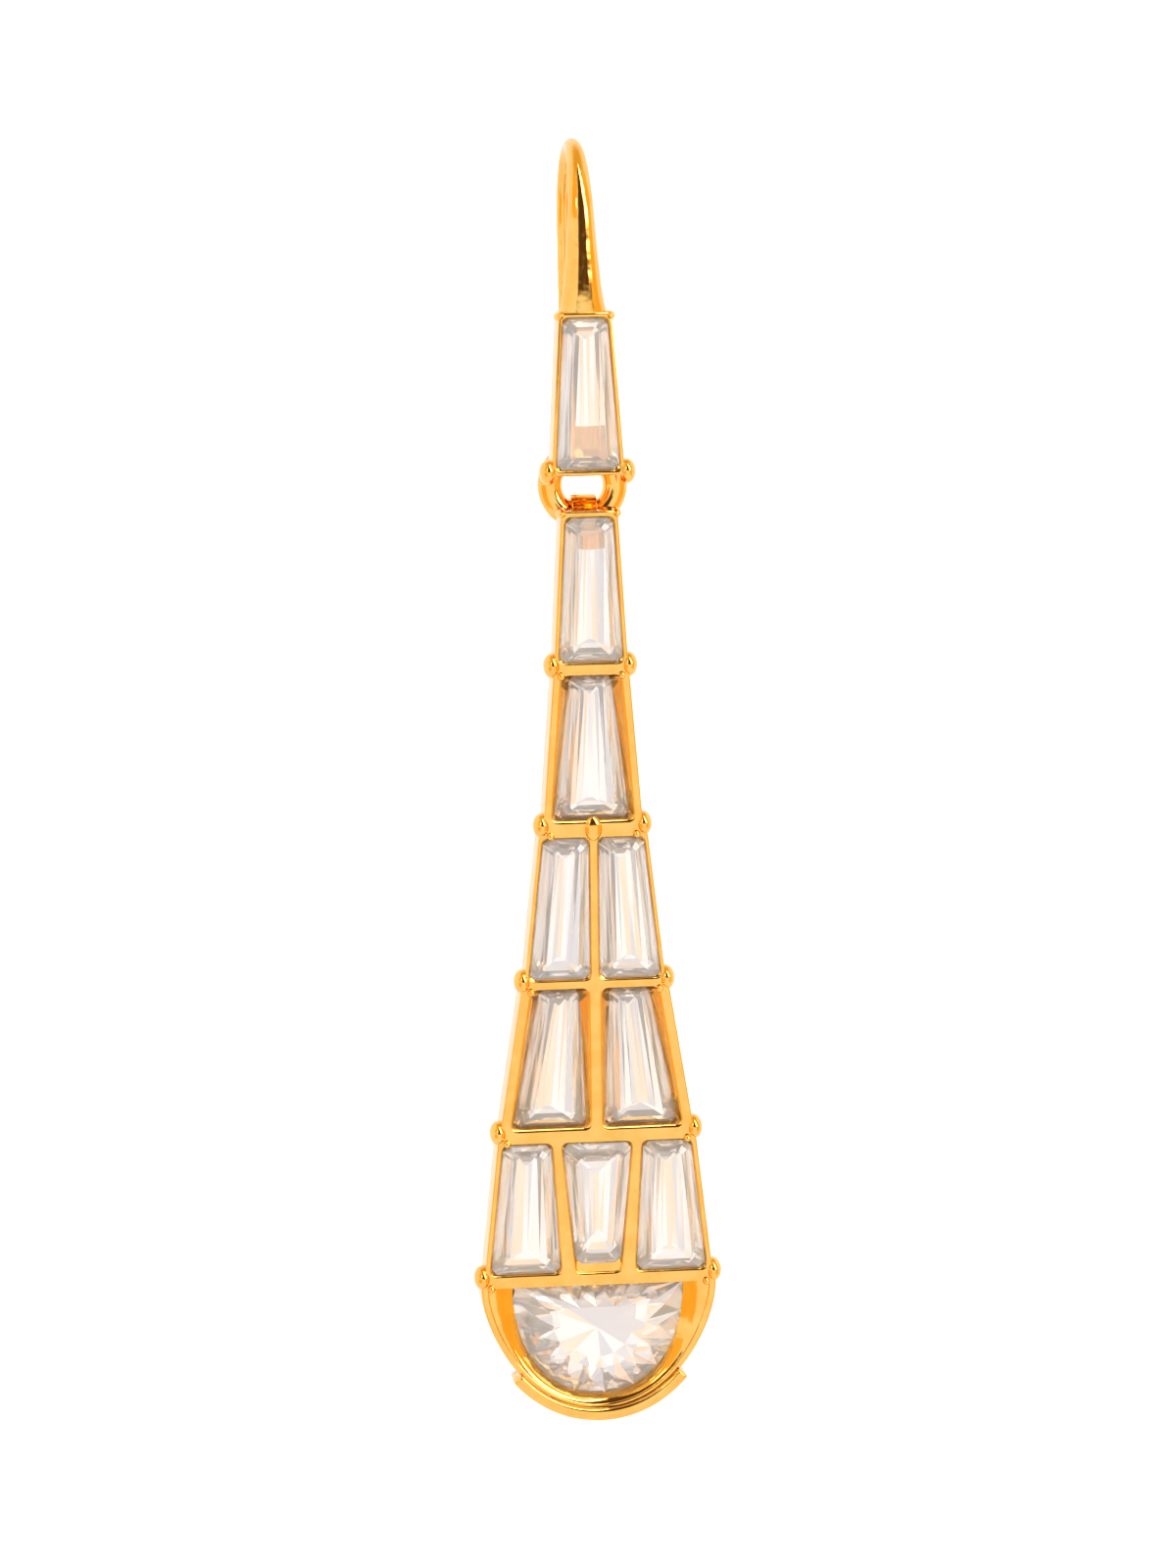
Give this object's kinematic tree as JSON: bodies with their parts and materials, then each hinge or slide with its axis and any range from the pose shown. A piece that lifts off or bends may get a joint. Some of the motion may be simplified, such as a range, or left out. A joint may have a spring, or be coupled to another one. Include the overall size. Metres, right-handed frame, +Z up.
{
  "type": "chandelier drop earring",
  "caption": "Chandelier drop earring: an ear hook with a tapered baguette setting, a link ring and a widening stone-set drop that ends in a half-moon.",
  "frame": {"origin": "inner top of the ear hook's crown, where the earring hangs", "axes": "+Z up, the earring's front faces -Y, +X to the right as seen from the front"},
  "size_m": [0.0118, 0.0095, 0.0609],
  "materials": {
    "gold": "polished",
    "crystal": "polished"
  },
  "bodies": {
    "ear_piece": {"ear_hook": "gold", "stone_top": "crystal"},
    "ring": {"link_ring": "gold"},
    "drop": {"drop_frame": "gold", "stone_row1_1": "crystal", "stone_row2_1": "crystal", "stone_row3_1": "crystal", "stone_row3_2": "crystal", "stone_row4_1": "crystal", "stone_row4_2": "crystal", "stone_row5_1": "crystal", "stone_row5_2": "crystal", "stone_row5_3": "crystal", "stone_half_moon": "crystal"}
  },
  "joints": [
    {"name": "ring_turn", "type": "hinge", "parent": "ear_piece", "child": "ring", "pos_m": [0, -0.00183, -0.0156], "axis": [0, 1, 0], "range_deg": [-20, 20]},
    {"name": "drop_swing", "type": "hinge", "parent": "ring", "child": "drop", "pos_m": [0, -0.00183, -0.01715], "axis": [1, 0, 0], "range_deg": [-25, 70]}
  ]
}
